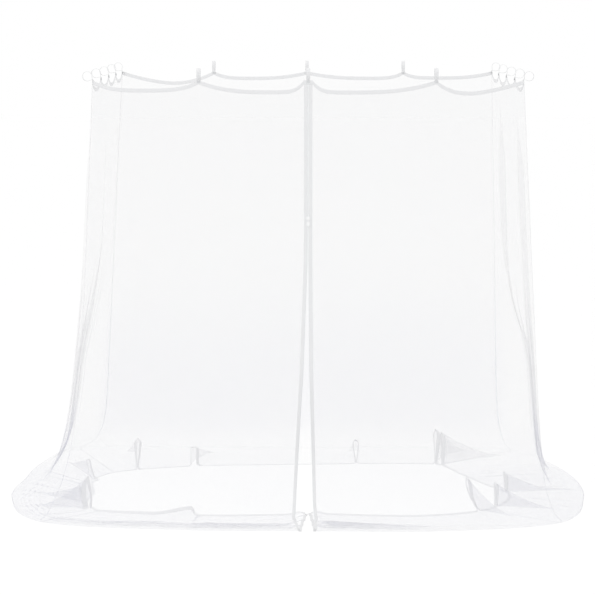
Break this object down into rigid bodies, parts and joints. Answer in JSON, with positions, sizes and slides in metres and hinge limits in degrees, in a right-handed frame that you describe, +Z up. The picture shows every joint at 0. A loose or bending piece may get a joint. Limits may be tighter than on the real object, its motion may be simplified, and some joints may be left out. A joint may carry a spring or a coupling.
{
  "type": "gazebo mosquito net",
  "caption": "Box-shaped fine white mosquito net: scalloped taped top edge with hanging loops, zipped front opening, and a ground flap turned inward round an open floor.",
  "frame": {"origin": "middle of the open top, level with the top edge of the heading at the loops", "axes": "+Z up, -Y towards the viewer of the zip side, +X to that viewer's right"},
  "size_m": [2.8194, 2.4291, 2.1029],
  "materials": {
    "net": "sheer knitted polyester netting",
    "tape": "matte woven polyester binding",
    "zip_coil": "nylon monofilament coil",
    "zip_slider": "moulded, painted white"
  },
  "bodies": {
    "root": {"net_front_left": "net", "net_left": "net", "net_back": "net", "net_right": "net", "net_front_right": "net", "heading_tape": "tape", "hem_tape": "tape", "zip_tape_left": "tape", "zip_tape_right": "tape", "zip_coil_left": "zip_coil", "zip_coil_right": "zip_coil", "zip_slider": "zip_slider", "zip_pull": "zip_slider", "loop_front_middle": "tape", "loop_front_left": "tape", "loop_left_1": "tape", "loop_left_2": "tape", "loop_left_3": "tape", "loop_back_left": "tape", "loop_back_middle": "tape", "loop_back_right": "tape", "loop_right_3": "tape", "loop_right_2": "tape", "loop_right_1": "tape", "loop_front_right": "tape", "loop_corner_front_left": "tape", "loop_corner_back_left": "tape", "loop_corner_back_right": "tape", "loop_corner_front_right": "tape"}
  },
  "joints": []
}
